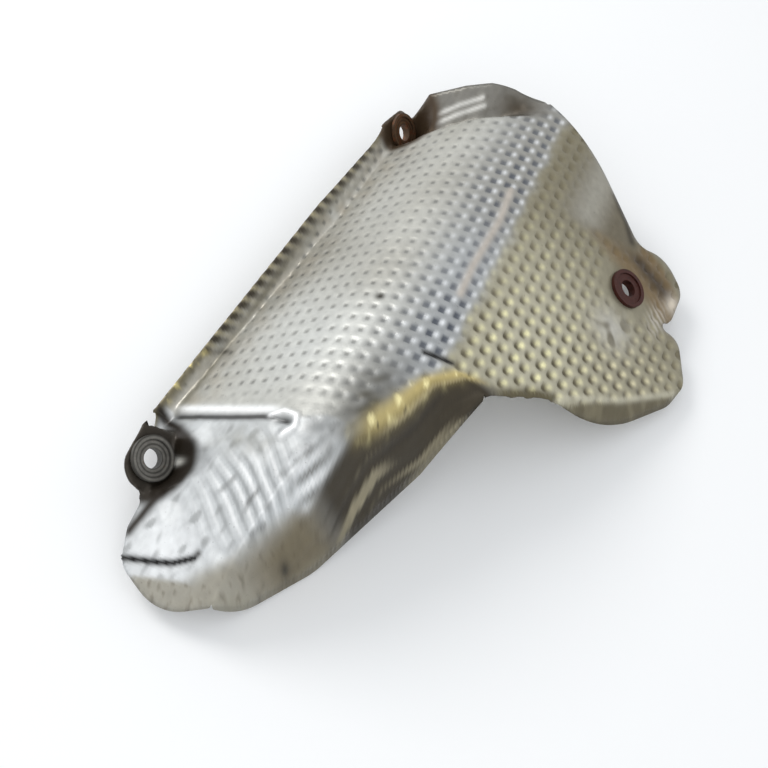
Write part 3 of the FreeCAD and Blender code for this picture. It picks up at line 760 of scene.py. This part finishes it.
def bush_material(node, axis, name, dark, light, rust, rust_share):
    """Tarnished turned steel with rust in patches."""
    nodes = Nodes(name)
    cloud, fine = nodes.noise(420.0, 6.0), nodes.noise(2200.0, 4.0)
    tarnish = nodes.mix(cloud, srgb(*dark), srgb(*light))
    metal = nodes.mix(turned_rings(nodes, node, axis), tarnish, srgb(*dark) * 0.55)
    patches = nodes.ramp(cloud, 0.72 - 0.4 * rust_share, 0.86 - 0.4 * rust_share)
    nodes.link(nodes.mix(patches, metal, srgb(*rust)), nodes.shader.inputs["Base Color"])
    nodes.link(nodes.ramp(fine, 0.3, 0.7, 0.40, 0.65), nodes.shader.inputs["Roughness"])
    nodes.shader.inputs["Metallic"].default_value = 0.5
    nodes.bump(fine, 0.3, 0.0002)
    return nodes.material


def dress(node, material):
    """Gives a solid of the frame its material."""
    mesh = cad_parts[node].data
    mesh.materials.clear()
    mesh.materials.append(material)


def place_camera():
    """Camera of the photograph: looks down on the nose from the front."""
    camera = bpy.data.objects.new("camera", bpy.data.cameras.new("camera"))
    camera.matrix_world = Matrix([*zip(*CAMERA_AXES, CAMERA_AT), (0, 0, 0, 1)])
    camera.data.sensor_width = CAMERA_SENSOR
    camera.data.lens = CAMERA_LENS
    camera.data.clip_start = CAMERA_NEAR
    bpy.context.scene.collection.objects.link(camera)
    bpy.context.scene.camera = camera


def soft_light(name, at, width, watts, colour):
    """Round lamp that points at the part."""
    lamp = bpy.data.lights.new(name, "AREA")
    lamp.shape = "DISK"
    lamp.size = width
    lamp.energy = watts
    lamp.color = colour
    light = bpy.data.objects.new(name, lamp)
    light.location = at
    light.rotation_euler = (Vector(LIGHTS_AIM) - Vector(at)).to_track_quat("-Z", "Y").to_euler()
    bpy.context.scene.collection.objects.link(light)


def white_for_seen_rays(tree, lit, white, target):
    """Sends white to the camera and to reflections, and the plain light to everything else."""
    path = tree.nodes.new("ShaderNodeLightPath")
    seen = path.outputs["Is Camera Ray"]
    for ray in ("Is Glossy Ray", "Is Transmission Ray"):
        either = tree.nodes.new("ShaderNodeMath")
        either.operation = "MAXIMUM"
        tree.links.new(seen, either.inputs[0])
        tree.links.new(path.outputs[ray], either.inputs[1])
        seen = either.outputs[0]
    mix = tree.nodes.new("ShaderNodeMixShader")
    for source, socket in zip((seen, lit, white), mix.inputs):
        tree.links.new(source, socket)
    tree.links.new(mix.outputs[0], target)


def build_studio():
    """White surroundings, a pale floor that keeps the part's shadow, and two soft lamps."""
    scene = bpy.context.scene
    scene.view_settings.view_transform = "Standard"
    world = bpy.data.worlds.new("studio")
    world.use_nodes = True
    tree = world.node_tree
    lit = tree.nodes["Background"]
    lit.inputs["Color"].default_value = DAYLIGHT
    lit.inputs["Strength"].default_value = DAYLIGHT_STRENGTH
    white = tree.nodes.new("ShaderNodeBackground")
    white.inputs["Color"].default_value = (1, 1, 1, 1)
    white.inputs["Strength"].default_value = 1.0
    white_for_seen_rays(tree, lit.outputs[0], white.outputs[0], tree.nodes["World Output"].inputs["Surface"])
    scene.world = world

    corners = [(FLOOR_HALF * x, FLOOR_HALF * y, 0) for x, y in ((-1, -1), (1, -1), (1, 1), (-1, 1))]
    mesh = bpy.data.meshes.new("floor")
    mesh.from_pydata(corners, [], [(0, 1, 2, 3)])
    floor = bpy.data.objects.new("floor", mesh)
    scene.collection.objects.link(floor)
    paper = Nodes("white_paper")
    paper.shader.inputs["Base Color"].default_value = (FLOOR_SHADE, FLOOR_SHADE, FLOOR_SHADE, 1)
    paper.shader.inputs["Roughness"].default_value = 0.9
    mesh.materials.append(paper.material)

    soft_light("key", at=(0.25, 0.85, 0.70), width=0.5, watts=4.5, colour=(1.0, 0.99, 0.97))
    soft_light("fill", at=(-0.75, -0.35, 0.75), width=1.0, watts=2.0, colour=(1.0, 1.0, 1.0))


sheet = build_sheet()
sheet.data.materials.append(sheet_material())
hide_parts("shield_panel")
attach(sheet, "root")
for node, *looks in BUSHES:
    dress(node, bush_material(node, *looks))
place_camera()
build_studio()
